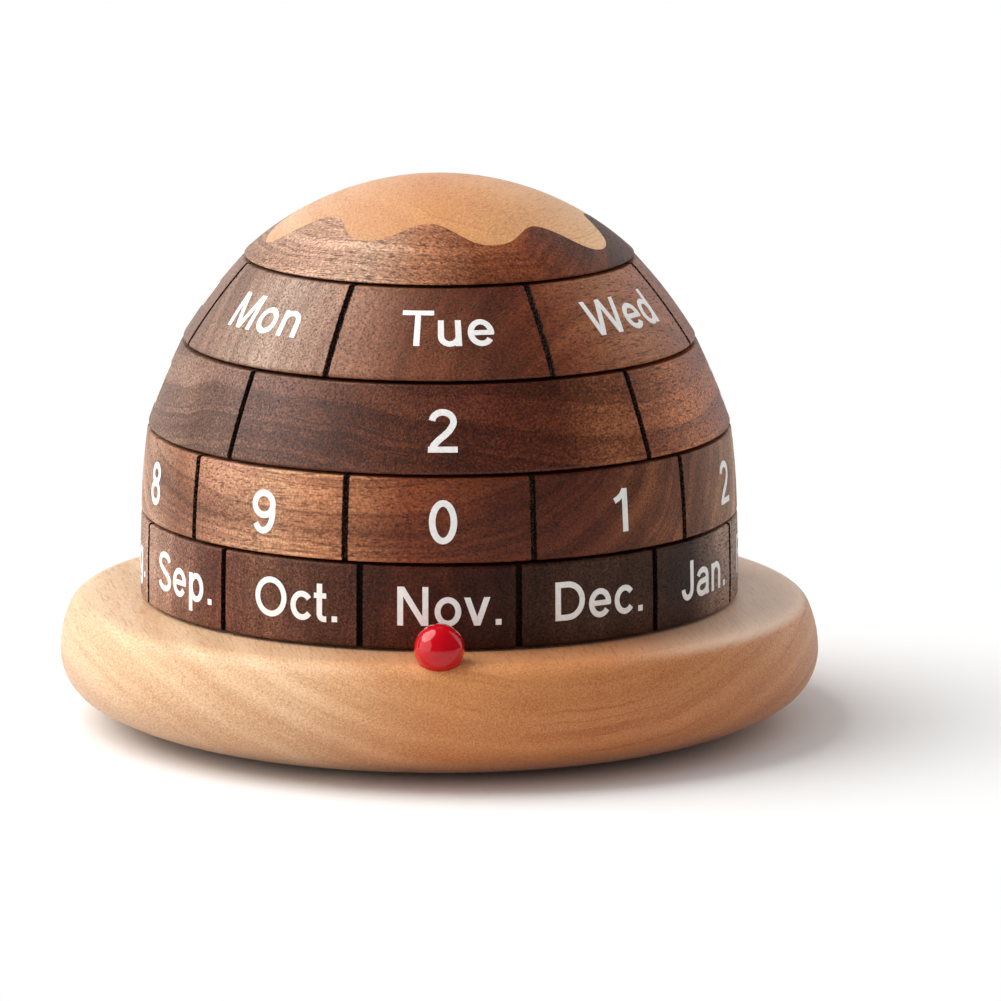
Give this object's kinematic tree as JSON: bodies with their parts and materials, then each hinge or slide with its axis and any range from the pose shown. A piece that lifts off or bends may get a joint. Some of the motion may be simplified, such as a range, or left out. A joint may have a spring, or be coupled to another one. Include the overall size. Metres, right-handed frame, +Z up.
{
  "type": "perpetual desk calendar",
  "caption": "Wooden dome desk calendar: turning rings for month, day and weekday stand on a round beech foot under a fixed cap, and a red bead marks the front.",
  "frame": {"origin": "centre of the underside, on the surface the calendar stands on", "axes": "+Z up along the spindle, -Y towards the front with the red bead, +X to the viewer's right"},
  "size_m": [0.125, 0.125, 0.09],
  "materials": {
    "beech": "satin oiled beech",
    "walnut": "satin oiled walnut",
    "walnut_light": "satin oiled walnut, lighter and redder heartwood",
    "walnut_dark": "satin oiled walnut, dark heartwood",
    "red_lacquer": "high gloss red lacquer",
    "felt": "pressed wool felt",
    "steel": "turned, plain",
    "brass": "turned",
    "nylon": "natural nylon",
    "white_ink": "matte white filled lettering"
  },
  "bodies": {
    "stand": {"base": "beech", "base_felt": "felt", "spindle": "steel", "spindle_screw": "steel", "spindle_washer": "steel", "pointer_bead": "red_lacquer", "bead_pin": "steel", "month_thrust_washer": "nylon", "unit_thrust_washer": "nylon", "tens_thrust_washer": "nylon", "weekday_thrust_washer": "nylon", "top_washer": "steel", "wave_washer": "steel", "lock_nut": "steel", "cap": "walnut", "snow_inlay": "beech", "cap_insert": "brass"},
    "month_turner": {"month_ring": "walnut_dark", "month_bush": "nylon"},
    "unit_turner": {"unit_ring": "walnut_light", "unit_bush": "nylon"},
    "tens_turner": {"tens_ring": "walnut", "tens_bush": "nylon"},
    "weekday_turner": {"weekday_ring": "walnut", "weekday_bush": "nylon"}
  },
  "joints": [
    {"name": "month_turn", "type": "hinge", "parent": "stand", "child": "month_turner", "pos_m": [0, 0, 0.0279], "axis": [0, 0, 1], "continuous": true},
    {"name": "unit_turn", "type": "hinge", "parent": "stand", "child": "unit_turner", "pos_m": [0, 0, 0.0419], "axis": [0, 0, 1], "continuous": true},
    {"name": "tens_turn", "type": "hinge", "parent": "stand", "child": "tens_turner", "pos_m": [0, 0, 0.056], "axis": [0, 0, 1], "continuous": true},
    {"name": "weekday_turn", "type": "hinge", "parent": "stand", "child": "weekday_turner", "pos_m": [0, 0, 0.07], "axis": [0, 0, 1], "continuous": true}
  ]
}
